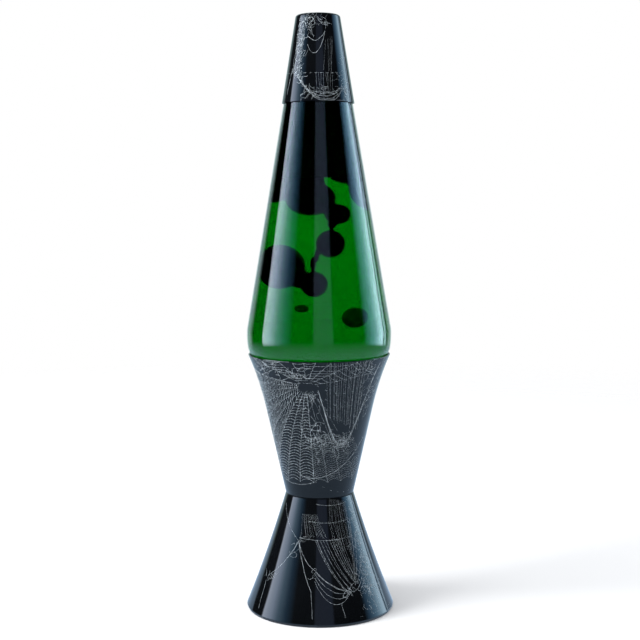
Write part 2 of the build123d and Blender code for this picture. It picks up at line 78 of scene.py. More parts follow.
def add(tree, kind, inputs=None, **settings):
    """A node of that kind. inputs maps socket names to values or to other nodes' outputs."""
    node = tree.nodes.new(kind)
    for key, value in settings.items():
        setattr(node, key, value)
    for key, value in (inputs or {}).items():
        socket = node.inputs[key]
        if isinstance(value, bpy.types.NodeSocket):
            tree.links.new(value, socket)
        else:
            socket.default_value = value
    return node


def principled(name, settings):
    """A material with one Principled shader, and its tree for the detail nodes."""
    material, tree, output = new_material(name)
    shader = add(tree, "ShaderNodeBsdfPrincipled", settings)
    tree.links.new(shader.outputs[0], output.inputs["Surface"])
    return material, tree, shader


def place(tree):
    """The point on the piece, in metres."""
    return add(tree, "ShaderNodeTexCoord").outputs["Object"]


def noise(tree, scale, detail=4.0, stretch=(1, 1, 1)):
    """Noise over the piece, from 0 to 1. scale is in cells to the metre."""
    mapping = add(tree, "ShaderNodeMapping", {"Vector": place(tree), "Scale": stretch})
    field = add(tree, "ShaderNodeTexNoise", {
        "Vector": mapping.outputs[0], "Scale": scale, "Detail": detail,
    })
    return field.outputs[0]


def spread(tree, value, low, high, start=0.3, end=0.7):
    """Maps value from start..end to low..high."""
    node = add(tree, "ShaderNodeMapRange", {
        "Value": value, "From Min": start, "From Max": end, "To Min": low, "To Max": high,
    })
    return node.outputs[0]


def ramp(tree, value, stops):
    """Colours along value. stops are (position, colour)."""
    node = add(tree, "ShaderNodeValToRGB", {"Fac": value})
    elements = node.color_ramp.elements
    while len(elements) < len(stops):
        elements.new(0.5)
    for element, (position, colour) in zip(elements, stops):
        element.position = position
        element.color = (*colour, 1.0)
    return node.outputs[0]


def bump(tree, shader, height, strength, distance):
    """Raises the surface by height times distance in the shading."""
    node = add(tree, "ShaderNodeBump", {
        "Height": height, "Strength": strength, "Distance": distance,
    })
    tree.links.new(node.outputs[0], shader.inputs["Normal"])


def speckled(name, dark, light, roughness, settings, grain=900.0, stretch=(1, 1, 1), lift=0.02):
    """A material whose colour, roughness and surface all vary a little over the piece."""
    material, tree, shader = principled(name, settings)
    grains = noise(tree, grain, 5.0, stretch)
    broad = noise(tree, 60.0, 3.0)
    colour = ramp(tree, broad, [(0.3, dark), (0.7, light)])
    tree.links.new(colour, shader.inputs["Base Color"])
    tree.links.new(spread(tree, grains, *roughness), shader.inputs["Roughness"])
    bump(tree, shader, grains, 0.3, lift * MM)
    return material


# ---- materials ---------------------------------------------------------------------------------

def black_enamel():
    """Gloss black paint, a little blue, with faint orange peel and rubbed patches."""
    material, tree, shader = principled("black_enamel", {"IOR": 1.38})
    patches = noise(tree, 35.0, 3.0)
    colour = ramp(tree, patches, [(0.3, (0.0018, 0.0022, 0.0028)), (0.7, (0.0028, 0.0034, 0.0044))])
    tree.links.new(colour, shader.inputs["Base Color"])
    tree.links.new(spread(tree, patches, 0.05, 0.085), shader.inputs["Roughness"])
    bump(tree, shader, noise(tree, 700.0, 2.0), 0.05, 0.05 * MM)
    return material


def web_print():
    """Pale blue-white print that is brighter in some spots of a thread than in others."""
    material, tree, shader = principled("web_print", {"Roughness": 0.45})
    beads = noise(tree, 1400.0, 2.0)
    colour = ramp(tree, beads, [
        (0.38, (0.11, 0.13, 0.14)), (0.5, (0.27, 0.31, 0.34)), (0.66, (0.62, 0.70, 0.76)),
    ])
    tree.links.new(colour, shader.inputs["Base Color"])
    return material


EDGE_POWER = 4.0     # how closely the shine of thin glass gathers at its edges
EDGE_SHINE = 0.28    # how much shine it gains there


def clear_wall(name, shine, tint, streaks):
    """Thin clear glass: see-through, with a mirror shine that grows towards the edges."""
    material, tree, output = new_material(name)
    see = add(tree, "ShaderNodeBsdfTransparent", {"Color": (*tint, 1.0)})
    faint = noise(tree, 90.0, 2.0, (1, 1, 0.15))
    gloss = add(tree, "ShaderNodeBsdfGlossy", {"Roughness": spread(tree, faint, 0.0, streaks)})
    edge = add(tree, "ShaderNodeLayerWeight", {"Blend": 0.5}).outputs["Facing"]
    steep = add(tree, "ShaderNodeMath", {0: edge, 1: EDGE_POWER}, operation="POWER")
    share = add(tree, "ShaderNodeMath", {
        0: steep.outputs[0], 1: EDGE_SHINE, 2: shine,
    }, operation="MULTIPLY_ADD")
    mixed = add(tree, "ShaderNodeMixShader", {0: share.outputs[0]})
    tree.links.new(see.outputs[0], mixed.inputs[1])
    tree.links.new(gloss.outputs[0], mixed.inputs[2])
    tree.links.new(mixed.outputs[0], output.inputs["Surface"])
    return material


def green_liquid():
    """Clear dyed water."""
    material, tree, shader = principled("green_liquid", {
        "Transmission Weight": 1.0, "IOR": 1.36, "Roughness": 0.0,
    })
    depth = add(tree, "ShaderNodeSeparateXYZ", {"Vector": place(tree)}).outputs["Z"]
    low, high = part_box("globe_liquid")
    # painted shade and light: the dye is even, but its tint is painted darker towards the bottom and lighter
    # towards the top
    colour = ramp(tree, spread(tree, depth, 0.0, 1.0, low[2], high[2]), [
        (0.0, (0.0, 0.115, 0.002)), (0.35, (0.0, 0.128, 0.002)), (0.8, (0.0, 0.150, 0.002)),
    ])
    tree.links.new(colour, shader.inputs["Base Color"])
    return material


def wax_finish(name, dark, light):
    """Smooth wax."""
    return speckled(name, dark, light, (0.28, 0.42), {"IOR": 1.45, "Specular IOR Level": 0.1}, 120.0)


def metal(name, dark, light, roughness, grain=900.0, stretch=(1, 1, 1)):
    """Bare or plated metal."""
    return speckled(name, dark, light, roughness, {"Metallic": 1.0}, grain, stretch)


MATERIALS = {
    "black_enamel": black_enamel(),
    "web_print": web_print(),
    "cover_plastic": speckled(
        "cover_plastic", (0.012, 0.012, 0.014), (0.022, 0.022, 0.024), (0.45, 0.6), {}, 2200.0, lift=0.08),
    "gland_rubber": speckled(
        "gland_rubber", (0.014, 0.014, 0.015), (0.026, 0.026, 0.027), (0.6, 0.8), {}, 1500.0, lift=0.05),
    "zinc_steel": metal("zinc_steel", (0.50, 0.50, 0.47), (0.66, 0.66, 0.64), (0.22, 0.4)),
    "holder_body": speckled(
        "holder_body", (0.66, 0.62, 0.52), (0.74, 0.70, 0.60), (0.32, 0.45), {}, 1200.0, lift=0.03),
    "brass": metal("brass", (0.62, 0.42, 0.16), (0.80, 0.58, 0.25), (0.16, 0.34)),
    "bulb_metal": metal("bulb_metal", (0.68, 0.68, 0.66), (0.82, 0.82, 0.80), (0.15, 0.3)),
    "insulator_glass": speckled(
        "insulator_glass", (0.006, 0.006, 0.008), (0.012, 0.010, 0.014), (0.06, 0.16), {}, 500.0),
    "solder": metal("solder", (0.45, 0.45, 0.46), (0.62, 0.62, 0.63), (0.3, 0.5), 1500.0),
    "bulb_clear": clear_wall("bulb_clear", 0.03, (0.97, 0.98, 0.98), 0.02),
    "tungsten": metal("tungsten", (0.20, 0.20, 0.22), (0.32, 0.32, 0.34), (0.3, 0.45), 3000.0),
    "clear_glass": clear_wall("clear_glass", 0.012, (0.985, 0.995, 0.99), 0.015),
    "green_liquid": green_liquid(),
    "black_wax": wax_finish("black_wax", (0.001, 0.0012, 0.001), (0.002, 0.0022, 0.002)),
    # painted light: the drop and bead are the same black wax as the mass, coloured green for the light of the
    # liquid round them
    "deep_wax": wax_finish("deep_wax", (0.001, 0.13, 0.001), (0.001, 0.18, 0.001)),
    "coil_wire": metal("coil_wire", (0.42, 0.42, 0.40), (0.58, 0.58, 0.56), (0.2, 0.35), 2000.0),
    "liner": speckled("liner", (0.62, 0.63, 0.61), (0.72, 0.73, 0.71), (0.6, 0.75), {}, 900.0),
    "tinplate": metal("tinplate", (0.55, 0.48, 0.32), (0.72, 0.64, 0.45), (0.18, 0.3), 700.0),
}


def dress(obj, name):
    """Gives the object one material of MATERIALS."""
    obj.data.materials.clear()
    obj.data.materials.append(MATERIALS[name])


def dress_nodes():
    """Puts each CAD node's slot material on it."""
    for part in frame["record"]["subparts"]:
        node = NODES[part["node"]]
        for slot in node.material_slots:
            slot.material = MATERIALS[part["material_slot"]]


# ---- mesh helpers ------------------------------------------------------------------------------

def piece(name, mesh_or_bmesh, body):
    """A new visible piece that rides on a body."""
    mesh = mesh_or_bmesh
    if isinstance(mesh_or_bmesh, bmesh.types.BMesh):
        mesh = bpy.data.meshes.new(name)
        mesh_or_bmesh.to_mesh(mesh)
        mesh_or_bmesh.free()
    obj = bpy.data.objects.new(name, mesh)
    bpy.context.scene.collection.objects.link(obj)
    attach(obj, body)
    return obj


def smooth(obj, angle=35.0):
    """Smooth shading, with sharp edges kept."""
    for polygon in obj.data.polygons:
        polygon.use_smooth = True
    obj.data.set_sharp_from_angle(angle=math.radians(angle))


def lathe(profile, count=160):
    """A closed body turned about Z from (radius, height) points that start and end on the axis."""
    body = bmesh.new()
    rings = []
    for radius, height in profile:
        if radius < 1e-6:
            rings.append([body.verts.new((0, 0, height))])
            continue
        turns = [math.tau * i / count for i in range(count)]
        rings.append([
            body.verts.new((radius * math.cos(t), radius * math.sin(t), height)) for t in turns
        ])
    for low, high in zip(rings, rings[1:]):
        for i in range(count):
            j = (i + 1) % count
            corners = [low[i % len(low)], low[j % len(low)], high[j % len(high)], high[i % len(high)]]
            face = list(dict.fromkeys(corners))
            body.faces.new(face)
    bmesh.ops.recalc_face_normals(body, faces=body.faces)
    return body


def tube(body, points, radius, sides=8, closed=False):
    """Adds a round tube along the points."""
    rings = []
    count = len(points)
    for i, point in enumerate(points):
        before = points[(i - 1) % count] if closed or i else point
        after = points[(i + 1) % count] if closed or i + 1 < count else point
        along = (after - before).normalized()
        side = along.cross(Vector((0, 0, 1)))
        if side.length < 0.1:
            side = along.cross(Vector((1, 0, 0)))
        side.normalize()
        other = along.cross(side)
        rings.append([
            body.verts.new(point + radius * (math.cos(a) * side + math.sin(a) * other))
            for a in (math.tau * k / sides for k in range(sides))
        ])
    pairs = list(zip(rings, rings[1:]))
    if closed:
        pairs.append((rings[-1], rings[0]))
    for low, high in pairs:
        for k in range(sides):
            m = (k + 1) % sides
            body.faces.new((low[k], low[m], high[m], high[k]))
    if not closed:
        body.faces.new(rings[0])
        body.faces.new(list(reversed(rings[-1])))
    bmesh.ops.recalc_face_normals(body, faces=body.faces)


# ---- wax, liquid and the wire pieces -----------------------------------------------------------

def tree_of(node):
    """Search tree of a CAD node's faces."""
    mesh = NODES[node].data
    points = [vertex.co for vertex in mesh.vertices]
    return BVHTree.FromPolygons(points, [polygon.vertices for polygon in mesh.polygons])


def outer_radius(faces, height):
    """Radius of the outermost face at a height, looking in from the front."""
    hit = faces.ray_cast(Vector((0, -1, height)), Vector((0, 1, 0)))[0]
    return -hit.y


def underside(faces, radius):
    """Height of the lowest face at a radius, looking up from below."""
    return faces.ray_cast(Vector((0, -radius, 0.05)), Vector((0, 0, 1)))[0].z


def blown_glass():
    """The globe: the CAD outside, with the wall drawn thin where the liquid stands against it."""
    faces = tree_of("globe_glass")
    low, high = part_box("globe_glass")
    foot = 36 * MM
    wall = 2.4 * MM
    film = 0.25 * MM
    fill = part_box("wax_rising")[1][2]
    bore_end = fill + 11 * MM
    wall_start = fill + 9 * MM
    foot_steps = 12
    bottom = [
        (foot * i / foot_steps, underside(faces, foot * i / foot_steps)) for i in range(foot_steps + 1)
    ]
    steps = 150
    top = high[2] - 0.02 * MM
    start = 0.1 * MM
    heights = [low[2] + start + (top - low[2] - start) * (i / steps) for i in range(steps + 1)]
    side = [(outer_radius(faces, height), height) for height in heights]
    lip = 4.4 * MM
    mouth = side[-1][0] - lip
    inside = [(mouth, top), (mouth, bore_end)]
    for radius, height in reversed(side):
        if height < wall_start:
            inside.append((radius - (film if height < fill else wall), height + film))
    inside += [(radius, height + film) for radius, height in reversed(bottom)]
    obj = piece("blown_glass", lathe([*bottom, *side, *inside]), "globe")
    dress(obj, "clear_glass")
    smooth(obj, 40.0)
    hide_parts("globe_glass")


def egg(body, centre, half):
    """Adds an ellipsoid, given in millimetres."""
    made = bmesh.ops.create_icosphere(body, subdivisions=4, radius=1.0)
    for vertex in made["verts"]:
        vertex.co = Vector(tuple((c + v * h) * MM for c, v, h in zip(centre, vertex.co, half)))


WAX_INSET = 2.8 * MM    # least distance from the outside of the glass to the wax


def molten(name, node, finish, eggs, voxel, rounds, mass=()):
    """Wax bodies run together as one smooth skin. mass is the outline of the wax on top."""
    body = lathe(mass) if mass else bmesh.new()
    for centre, half in eggs:
        egg(body, centre, half)
    obj = piece(name, body, "globe")
    remesh = obj.modifiers.new("remesh", "REMESH")
    remesh.mode = "VOXEL"
    remesh.voxel_size = voxel
    relax = obj.modifiers.new("relax", "SMOOTH")
    relax.factor = 0.5
    relax.iterations = rounds
    graph = bpy.context.evaluated_depsgraph_get()
    obj.data = bpy.data.meshes.new_from_object(obj.evaluated_get(graph))
    obj.modifiers.clear()
    glass = tree_of("globe_glass")
    for vertex in obj.data.vertices:
        reach = math.hypot(vertex.co.x, vertex.co.y)
        room = outer_radius(glass, vertex.co.z) - WAX_INSET
        if reach > room:
            vertex.co.x *= room / reach
            vertex.co.y *= room / reach
    dress(obj, finish)
    smooth(obj, 180.0)
    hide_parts(node)


# centre and half sizes of each wax body in mm: the lobes of the mass, then the string down to the left
WAX_BODIES = [
    ((-4.0, -7.0, 256.0), (12.6, 12.0, 10.4)),
    ((-9.0, -4.0, 266.0), (12.0, 14.0, 9.0)),
    ((-21.5, 0.0, 264.5), (10.5, 14.0, 11.0)),
    ((27.5, -3.0, 262.5), (13.0, 15.0, 13.6)),
    ((14.0, -4.0, 270.0), (9.0, 12.0, 5.2)),
    ((9.6, -9.0, 246.6), (6.8, 5.6, 6.2)),
    ((6.6, -9.5, 240.6), (2.4, 2.4, 3.0)),
    ((6.0, -10.5, 228.6), (7.5, 7.2, 8.4)),
    ((-0.9, -8.5, 221.2), (1.3, 1.3, 4.2)),
    ((-2.8, -7.0, 216.0), (1.5, 1.5, 5.0)),
    ((-19.2, -4.0, 214.2), (13.0, 13.0, 13.6)),
    ((-9.0, -6.0, 206.5), (6.5, 6.0, 5.4)),
    ((-2.4, -8.0, 203.6), (6.8, 6.4, 7.8)),
]
WAX_DROP = ((15.9, 6.0, 181.4), (6.0, 6.0, 6.4))
WAX_BEAD = ((-7.3, 12.0, 186.6), (3.1, 3.1, 2.5))


def wax():
    """The mass on top with the string of bodies under it, the drop and the bead."""
    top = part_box("wax_rising")[1][2]
    edge = 269 * MM
    mass_inset = 2.9 * MM
    steps = 24
    glass = tree_of("globe_glass")
    heights = [edge + (top - edge) * i / steps for i in range(steps + 1)]
    side = [(outer_radius(glass, height) - mass_inset, height) for height in heights]
    mass = [(0.0, edge + 3 * MM), (side[0][0] * 0.7, edge + 2 * MM), *side, (0.0, top)]
    molten("molten_mass", "wax_rising", "black_wax", WAX_BODIES, 0.7 * MM, 6, mass)
    # the drop and bead take the wax painted green for the light of the liquid round them
    molten("molten_drop", "wax_drop", "deep_wax", [WAX_DROP], 0.5 * MM, 3)
    molten("molten_bead", "wax_bead", "deep_wax", [WAX_BEAD], 0.4 * MM, 3)


def liquid():
    """The liquid as one clear body that fills the globe, with the wax inside it."""
    glass = tree_of("globe_glass")
    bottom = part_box("globe_liquid")[0][2]
    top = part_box("wax_rising")[1][2] + 0.2 * MM
    steps = 90
    margin = 0.45 * MM
    heights = [bottom + (top - bottom) * i / steps for i in range(steps + 1)]
    walls = [(outer_radius(glass, height) - margin, height) for height in heights]
    inset = 3.0 * MM
    profile = [
        (0.0, bottom), (walls[0][0] - inset, bottom), *walls[1:-1], (walls[-1][0] - inset, top), (0.0, top),
    ]
    obj = piece("dyed_liquid", lathe(profile), "globe")
    dress(obj, "green_liquid")
    smooth(obj, 40.0)
    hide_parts("globe_liquid")


def wire_ring():
    """The ring of coiled wire at the bottom of the globe."""
    low, high = (Vector(corner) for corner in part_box("wax_coil"))
    coil_radius = (high.z - low.z) / 2
    wire = 0.4 * MM
    ring_radius = (high.x - low.x) / 2 - coil_radius
    turns = 62
    steps_in_turn = 14
    steps = turns * steps_in_turn
    points = []
    for i in range(steps):
        around = math.tau * i / steps
        twist = turns * around
        reach = ring_radius + (coil_radius - wire) * math.cos(twist)
        points.append(Vector((
            reach * math.cos(around), reach * math.sin(around),
            (low.z + high.z) / 2 + (coil_radius - wire) * math.sin(twist),
        )))
    body = bmesh.new()
    tube(body, points, wire, sides=6, closed=True)
    obj = piece("coiled_wire", body, "globe")
    dress(obj, "coil_wire")
    smooth(obj, 180.0)
    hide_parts("wax_coil")


def filament():
    """The filament as its fine coil, hung between the wires in an inverted V."""
    low, high = (Vector(corner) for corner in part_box("bulb_filament"))
    wire = 0.06 * MM
    coil_radius = 0.24 * MM
    inset = 0.3 * MM
    lift = 0.35 * MM
    left = Vector((low.x + inset, 0, low.z + lift))
    peak = Vector((0, 0, high.z - inset))
    right = Vector((high.x - inset, 0, low.z + lift))
    body = bmesh.new()
    for start, end in ((left, peak), (peak, right)):
        along = (end - start).normalized()
        side = Vector((0, 1, 0))
        other = along.cross(side)
        turns = 26
        steps_in_turn = 10
        steps = turns * steps_in_turn
        points = []
        for i in range(steps + 1):
            twist = math.tau * turns * i / steps
            offset = coil_radius * (math.cos(twist) * side + math.sin(twist) * other)
            points.append(start.lerp(end, i / steps) + offset)
        tube(body, points, wire, sides=5)
    obj = piece("coiled_filament", body, "bulb")
    dress(obj, "tungsten")
    smooth(obj, 180.0)
    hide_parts("bulb_filament")


# ---- printed cobweb ----------------------------------------------------------------------------

# widths of the threads
FAINT = 0.09 * MM
FINE = 0.13 * MM
THREAD = 0.18 * MM
ROPE = 0.34 * MM


class Pen:
    """Draws print on the outside of a CAD node.

    A place is (degrees to the right of the front, height in mm). middle is the radius in mm at which a
    length across the surface is turned into degrees, and margin the bare strip at the node's lower edge.
    """

    SUNK = 0.02 * MM
    RAISED = 0.05 * MM
    TOP_SHARE = 0.6      # width of a thread's top as a share of its foot
    TOP_MARGIN = 0.4     # bare strip in mm at the node's upper edge
    HUB_OPENING = 4.6    # radius in mm of the hole in the middle of a wheel

    def __init__(self, node, middle, margin, seed):
        self.faces = tree_of(node)
        low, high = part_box(node)
        self.low = low[2] / MM + margin
        self.high = high[2] / MM - self.TOP_MARGIN
        self.per_mm = math.degrees(1 / middle)
        self.random = random.Random(seed)
        self.body = bmesh.new()
        self.turn = 0

    def spot(self, place):
        """Point and outward normal on the surface."""
        degrees, height = place
        angle = math.radians(degrees + self.turn)
        away = Vector((math.sin(angle), -math.cos(angle), 0))
        start = away * 0.2 + Vector((0, 0, min(max(height, self.low), self.high) * MM))
        point, normal, _, _ = self.faces.ray_cast(start, -away)
        return point, normal

    def strip(self, places, width):
        """One thread through the places: a low closed strip."""
        spots = [self.spot(place) for place in places]
        rings = []
        for i, (point, normal) in enumerate(spots):
            along = spots[min(i + 1, len(spots) - 1)][0] - spots[max(i - 1, 0)][0]
            side = along.cross(normal).normalized() * (width / 2)
            foot = point - normal * self.SUNK
            top = point + normal * self.RAISED
            narrow = side * self.TOP_SHARE
            corners = (foot - side, foot + side, top + narrow, top - narrow)
            rings.append([self.body.verts.new(corner) for corner in corners])
        for low, high in zip(rings, rings[1:]):
            for k in range(4):
                m = (k + 1) % 4
                self.body.faces.new((low[k], low[m], high[m], high[k]))
        self.body.faces.new(rings[0])
        self.body.faces.new(list(reversed(rings[-1])))

    def shaken(self, place, wobble):
        """The place moved at random by about so many millimetres."""
        sideways = self.random.gauss(0, wobble) * self.per_mm
        return (place[0] + sideways, place[1] + self.random.gauss(0, wobble))

    def curve(self, corners, width, wobble=0.07, steps=4):
        """A thread along a smooth curve through the corners."""
        last = len(corners) - 1
        places = []
        for i in range(last):
            a, b, c, d = (corners[min(max(k, 0), last)] for k in (i - 1, i, i + 1, i + 2))
            for t in (s / steps for s in range(steps)):
                places.append(tuple(
                    0.5 * (2 * q + (r - p) * t + (2 * p - 5 * q + 4 * r - s) * t * t
                           + (3 * q - p - 3 * r + s) * t ** 3)
                    for p, q, r, s in zip(a, b, c, d)
                ))
        places = [places[0], *(self.shaken(place, wobble) for place in places[1:]), corners[last]]
        self.strip(places, width)

    def line(self, start, end, width, sag=0.0, wobble=0.05, steps=6):
        """A thread between two places that sags by so many millimetres in the middle."""
        places = []
        for t in (s / steps for s in range(steps + 1)):
            level = start[1] + (end[1] - start[1]) * t - 4 * sag * t * (1 - t)
            places.append((start[0] + (end[0] - start[0]) * t, level))
        self.strip([start, *(self.shaken(place, wobble) for place in places[1:-1]), end], width)

    def ends(self, hub, first, last, count, edges):
        """Where rays from the hub meet the edges (left, right, low, high).

        first and last are the angles of the outer rays: 0 is to the right, and 90 is up.
        """
        left, right, low, high = edges
        places = []
        for i in range(count):
            angle = math.radians(first + (last - first) * i / (count - 1))
            run = math.cos(angle) * self.per_mm
            rise = math.sin(angle)
            sideways = ((right if run > 0 else left) - hub[0]) / run
            upright = ((high if rise > 0 else low) - hub[1]) / rise
            length = min(sideways, upright)
            places.append((hub[0] + run * length, hub[1] + rise * length))
        return places

    def orb(self, hub, ends, rings, width, first=0.0, torn=0.06, scallop=0.035):
        """Radial threads from the open hub to the ends, with rings of cross threads between neighbours."""
        def along(end, share):
            return tuple(h + (e - h) * share for h, e in zip(hub, end))

        for end in ends:
            length = math.hypot((end[0] - hub[0]) / self.per_mm, end[1] - hub[1])
            self.line(along(end, self.HUB_OPENING / length), end, width * 0.9, wobble=0.1, steps=10)
        shares = [[
            first + (1 - first) * (ring + 1 + self.random.gauss(0, 0.07)) / rings for ring in range(rings)
        ] for _ in ends]
        for start, end, near, far in zip(ends, ends[1:], shares, shares[1:]):
            for share, next_share in zip(near, far):
                if self.random.random() < torn:
                    continue
                a = along(start, share)
                b = along(end, next_share)
                places = []
                for t in (0.0, 0.25, 0.5, 0.75, 1.0):
                    pull = scallop * 4 * t * (1 - t)
                    middle = tuple(p + (q - p) * t for p, q in zip(a, b))
                    places.append(tuple(m + (h - m) * pull for m, h in zip(middle, hub)))
                self.strip(places, width * self.random.uniform(0.8, 1.15))

    def rows(self, tops, bottoms, count, width, sag=0.0, wobble=0.05):
        """Threads side by side, from the line through the tops to the line through the bottoms."""
        def at(line, share):
            place = share * (len(line) - 1)
            i = min(int(place), len(line) - 2)
            return tuple(p + (q - p) * (place - i) for p, q in zip(line[i], line[i + 1]))

        for i in range(count):
            share = min(max((i + self.random.uniform(-0.25, 0.25)) / (count - 1), 0), 1)
            end = self.shaken(at(bottoms, share), 0.5)
            self.line(at(tops, share), end, width * self.random.uniform(0.6, 1.3), sag, wobble)

    def tangle(self, centre, size, count, width, reach=1.0):
        """Loose curled threads round a place. size is (degrees, mm), and reach the length of a curl in mm."""
        for _ in range(count):
            place = tuple(c + self.random.gauss(0, s / 2) for c, s in zip(centre, size))
            heading = self.random.uniform(0, math.tau)
            places = [place]
            for _ in range(self.random.randint(3, 8)):
                heading += self.random.gauss(0, 0.8)
                step = reach * self.random.uniform(0.6, 1.4)
                sideways = step * math.cos(heading) * self.per_mm
                place = (place[0] + sideways, place[1] + step * math.sin(heading))
                places.append(place)
            self.curve(places, width * self.random.uniform(0.6, 1.3), 0.0, 3)

    def finish(self, name, body):
        """The drawn threads as one piece."""
        bmesh.ops.recalc_face_normals(self.body, faces=self.body.faces)
        obj = piece(name, self.body, body)
        dress(obj, "web_print")


# Each web is drawn twice, on the front and half a turn round, on the back.

def upper_cone_web():
    """A wheel web, torn open at the right, where it hangs from a heavy thread."""
    pen = Pen("base_upper_cone", middle=32, margin=1.0, seed=7)
    hub = (-12, 146)
    # how far the wheel reaches: left, right, low, high, and less far to the right in its torn part
    whole_edges = (-84, 80, 84, 160)
    torn_edges = (-84, 50, 84, 160)
    for pen.turn in (0, 180):
        # the wheel: its left and lower part, a fainter part at the lower right, and a torn part above
        pen.orb(hub, pen.ends(hub, 170, 272, 10, whole_edges), 30, FINE * 1.15, first=0.09, torn=0.02)
        pen.orb(hub, pen.ends(hub, 272, 312, 5, whole_edges), 24, FAINT, first=0.5)
        pen.orb(hub, pen.ends(hub, 10, 170, 9, torn_edges), 9, FINE, torn=0.25)
        # the curtain on the right
        pen.rows([(6, 160), (41, 160)], [(9, 126), (48, 116)], 20, FAINT * 0.8)
        # the heavy thread with two fine ones along it, and the threads between it and the hub
        for strand in range(3):
            width = ROPE if strand == 0 else FINE
            pen.line((-1, 143), (60, 158), width, sag=42 + strand, wobble=0.15, steps=24)
        for level in range(4):
            pen.line((-2, 150 - 4 * level), (50, 156 - 9 * level), FINE * 1.15, sag=4 + 2 * level)
        # the loose threads along the bottom
        pen.line((-28, 88), (66, 110), THREAD * 1.3, sag=9, wobble=0.1, steps=16)
        pen.line((-66, 84), (-8, 84), THREAD, sag=2, wobble=0.1, steps=10)
        pen.line((-6, 84), (66, 78), FINE, sag=4)
        for centre, size, count, width, reach in (
            ((-17, 153), (9, 4), 14, FINE, 1.0),
            ((-9, 138), (7, 4), 12, FINE, 1.0),
            ((-3, 112), (16, 11), 22, FINE, 2.2),
            ((14, 108), (14, 6), 18, FINE, 1.8),
            ((30, 109), (12, 3), 16, FINE, 1.0),
            ((-45, 156), (24, 5), 22, FINE, 1.8),
            ((44, 155), (10, 6), 16, FINE, 1.2),
            ((58, 142), (12, 28), 26, FAINT, 1.8),
        ):
            pen.tangle(centre, size, count, width, reach)
    pen.finish("web_on_upper_cone", "base")


def lower_cone_web():
    """Slanting sheets of thread with knots, and threads that hang down to the hem."""
    pen = Pen("base_lower_cone", middle=34, margin=3.5, seed=11)
    left_end, left_knot, middle_knot = (-58, 25), (-26, 48), (-5, 32)
    low_knot, right_end = (28, 19), (44, 26)
    for pen.turn in (0, 180):
        # four sheets: upper left, middle, upper right, and below that
        pen.rows([(-26, 64), (-4, 64)], [(-22, 51), (10, 51)], 15, FAINT * 0.5, sag=0.4)
        pen.rows([(-6, 49), (28, 50)], [(26, 18), (38, 28)], 11, FAINT * 1.2, sag=1.5)
        pen.rows([(15, 73), (42, 71)], [(12, 60), (46, 58)], 12, FAINT * 0.45)
        pen.rows([(12, 60), (44, 58)], [(20, 42), (42, 42)], 12, FAINT * 0.5, sag=0.3)
        # the thread from knot to knot
        knots = (left_end, left_knot, middle_knot, low_knot, right_end)
        for start, end in zip(knots, knots[1:]):
            pen.line(start, end, THREAD, sag=2.5)
        # the threads that come down to the low knot and close to it
        for step in range(4):
            pen.line((-5, 32 - 2 * step), low_knot, FINE, sag=2 + 2.5 * step, wobble=0.05, steps=12)
            pen.line((44 + 2 * step, 70 - 11 * step), (34, 22), FAINT, sag=1.5)
        # the threads across the sheets, and those that hold the left knot
        for row in range(3):
            level = 50 + 10 * row
            pen.line((-26 + 10 * row, level), (45, level), FINE, sag=1.0, wobble=0.05, steps=12)
        pen.line((-66, 68), left_knot, FINE, sag=1.0)
        pen.line(left_knot, (-8, 20), THREAD, sag=1.0)
        # the threads that hang down
        for top in ((-60, 22), (-8, 20), (18, 13), (50, 18)):
            pen.line(top, (top[0] + 2, 5), FINE)
        for centre, size, count, width, reach in (
            (left_end, (9, 3), 8, FAINT, 1.0),
            (left_knot, (4, 7), 9, FAINT, 1.4),
            ((-5, 31), (3, 5), 5, FAINT, 0.8),
            (low_knot, (4, 2), 10, FINE, 0.8),
            ((54, 46), (10, 28), 70, FAINT, 0.9),
            ((50, 20), (14, 18), 110, FAINT, 0.9),
        ):
            pen.tangle(centre, size, count, width, reach)
    pen.finish("web_on_lower_cone", "base")


def cap_web():
    """Old cobweb: strands down the left, loops in the middle and a heavy swag below."""
    pen = Pen("cap_shell", middle=18, margin=0.4, seed=23)
    for pen.turn in (0, 180):
        # the strands down the left
        for strand in range(6):
            top, bottom = (-50 + 4 * strand, 366), (-52 + 3 * strand, 332)
            pen.line(top, bottom, FINE * 1.2, wobble=0.35, steps=12)
        # the loops in the middle, and two threads under the top edge
        for sag in (4, 9):
            pen.line((-22, 358 - sag), (16, 357), THREAD, sag, wobble=0.1, steps=10)
        for start in (-34, -4):
            pen.line((start, 366), (start + 28, 362), FINE, sag=3.0, wobble=0.15, steps=8)
        # the level thread, one that hangs from its left, and the swag under it
        pen.line((-82, 333), (36, 332), THREAD, sag=0.5, wobble=0.05, steps=12)
        pen.line((-55, 334), (-61, 320), THREAD)
        for strand in range(4):
            left, right = (-44 + 3 * strand, 332), (42, 324 - strand)
            pen.line(left, right, THREAD, sag=8 + strand, wobble=0.2, steps=16)
        # the short threads between them, and those above the level thread
        pen.rows([(-4, 332), (26, 332)], [(-3, 322), (25, 321)], 8, FAINT * 0.5)
        pen.rows([(16, 352), (32, 354)], [(8, 333), (26, 333)], 4, FAINT * 0.5)
        for centre, size, count, width, reach in (
            ((-28, 362), (14, 6), 22, FINE, 1.3),
            ((-37, 347), (7, 16), 26, FINE, 1.3),
            ((-38, 333), (8, 4), 14, FINE, 1.0),
            ((10, 363), (16, 3), 12, FAINT, 1.4),
            ((-14, 322), (14, 3), 12, FINE, 1.0),
            ((14, 319), (20, 2), 12, FINE, 1.0),
            ((46, 322), (12, 12), 46, FAINT, 1.0),
        ):
            pen.tangle(centre, size, count, width, reach)
    pen.finish("web_on_cap", "cap")


# ---- camera, light and stage -------------------------------------------------------------------

